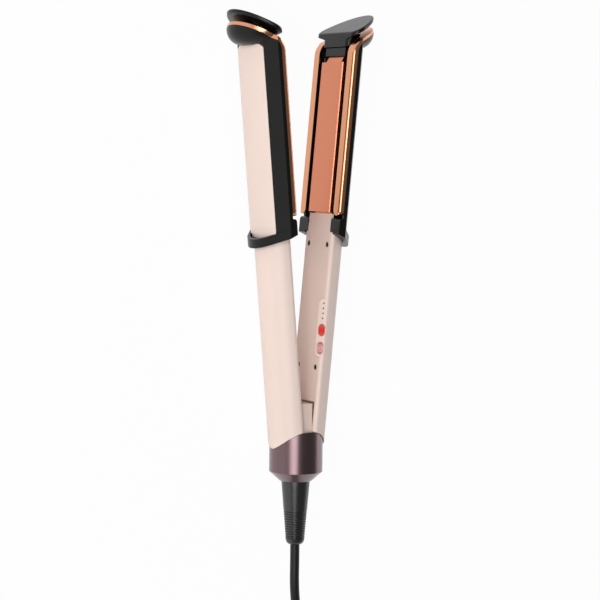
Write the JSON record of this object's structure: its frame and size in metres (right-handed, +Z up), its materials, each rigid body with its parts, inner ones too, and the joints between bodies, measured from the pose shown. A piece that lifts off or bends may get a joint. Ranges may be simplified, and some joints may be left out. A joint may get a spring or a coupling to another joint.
{
  "type": "hair straightener",
  "caption": "Hair straightener with two spring-opened arms, floating copper-tone heating plates, flared slanted tips, a control panel on one handle and a swivel mains cord.",
  "frame": {"origin": "on the surface that the tool lies on, under the centre of its length and width without the cord", "axes": "+Y along the tool from the cord end to the tips, +Z up along the hinge axis, +X across the open arms towards the arm with the controls"},
  "size_m": [0.1042, 0.6444, 0.0495],
  "materials": {
    "pink_shell": "satin pale pink",
    "black_housing": "satin black",
    "copper_trim": "polished copper tone",
    "copper_plate": "smooth copper-tone coating",
    "mauve_cup": "satin metallic mauve",
    "steel": "plain",
    "dark_screw": "darkened",
    "relief_rubber": "matt",
    "cord_rubber": "matt",
    "silicone": "matt",
    "ceramic": "fired ceramic",
    "smoked_lens": "clear smoked",
    "circuit_board": "lacquered",
    "rose_button": "gloss",
    "red_button": "gloss, lit"
  },
  "bodies": {
    "base": {"base_cup": "mauve_cup", "swivel_retainer": "steel", "hinge_block": "pink_shell", "hinge_pin": "steel", "opening_spring": "steel", "cord_lead": "cord_rubber", "cord_hank": "cord_rubber", "cord_tail": "cord_rubber", "cord_tie": "cord_rubber", "plug_body": "relief_rubber", "plug_pins": "steel"},
    "cord_swivel": {"strain_relief": "relief_rubber"},
    "left_arm": {"left_hinge_bracket": "steel", "left_handle_shell": "pink_shell", "left_handle_cover": "pink_shell", "left_cover_screws": "dark_screw", "left_housing": "black_housing", "left_outer_panel": "pink_shell", "left_trim_frame": "copper_trim", "left_plate_carrier": "black_housing", "left_tip_cap": "black_housing", "left_plate_cushions": "silicone"},
    "left_floating_plate": {"left_plate": "copper_plate", "left_heater": "ceramic", "left_thermal_fuse": "steel"},
    "right_arm": {"right_hinge_bracket": "steel", "right_handle_shell": "pink_shell", "right_handle_cover": "pink_shell", "right_cover_screws": "dark_screw", "right_housing": "black_housing", "right_outer_panel": "pink_shell", "right_trim_frame": "copper_trim", "right_plate_carrier": "black_housing", "right_tip_cap": "black_housing", "right_plate_cushions": "silicone", "control_panel": "pink_shell", "indicator_lenses": "smoked_lens", "control_board": "circuit_board", "button_switches": "steel"},
    "right_floating_plate": {"right_plate": "copper_plate", "right_heater": "ceramic", "right_thermal_fuse": "steel"},
    "power_button": {"power_button": "rose_button"},
    "mode_button": {"mode_button": "red_button"}
  },
  "joints": [
    {"name": "left_hinge", "type": "hinge", "parent": "base", "child": "left_arm", "pos_m": [0, -0.11577, 0.02475], "axis": [0, 0, -1], "range_deg": [0, 5.2], "stiffness_Nm_per_rad": 1.2, "springref_deg": -17.19},
    {"name": "right_hinge", "type": "hinge", "parent": "base", "child": "right_arm", "pos_m": [0, -0.11577, 0.02475], "axis": [0, 0, 1], "range_deg": [0, 5.2], "stiffness_Nm_per_rad": 1.2, "springref_deg": -17.19},
    {"name": "left_plate_float", "type": "slide", "parent": "left_arm", "child": "left_floating_plate", "axis": [-0.9957, -0.0924, 0], "range_m": [0, 0.0009], "stiffness_N_per_m": 3000, "springref_m": -0.001},
    {"name": "right_plate_float", "type": "slide", "parent": "right_arm", "child": "right_floating_plate", "axis": [0.9957, -0.0924, 0], "range_m": [0, 0.0009], "stiffness_N_per_m": 3000, "springref_m": -0.001},
    {"name": "power_press", "type": "slide", "parent": "right_arm", "child": "power_button", "axis": [0.9264, -0.0859, -0.3665], "range_m": [0, 0.0004], "stiffness_N_per_m": 1500, "springref_m": -0.0005},
    {"name": "mode_press", "type": "slide", "parent": "right_arm", "child": "mode_button", "axis": [0.9264, -0.0859, -0.3665], "range_m": [0, 0.0004], "stiffness_N_per_m": 1500, "springref_m": -0.0005},
    {"name": "cord_swivel_turn", "type": "hinge", "parent": "base", "child": "cord_swivel", "pos_m": [0, -0.13576, 0.02475], "axis": [0, 1, 0], "continuous": true}
  ]
}
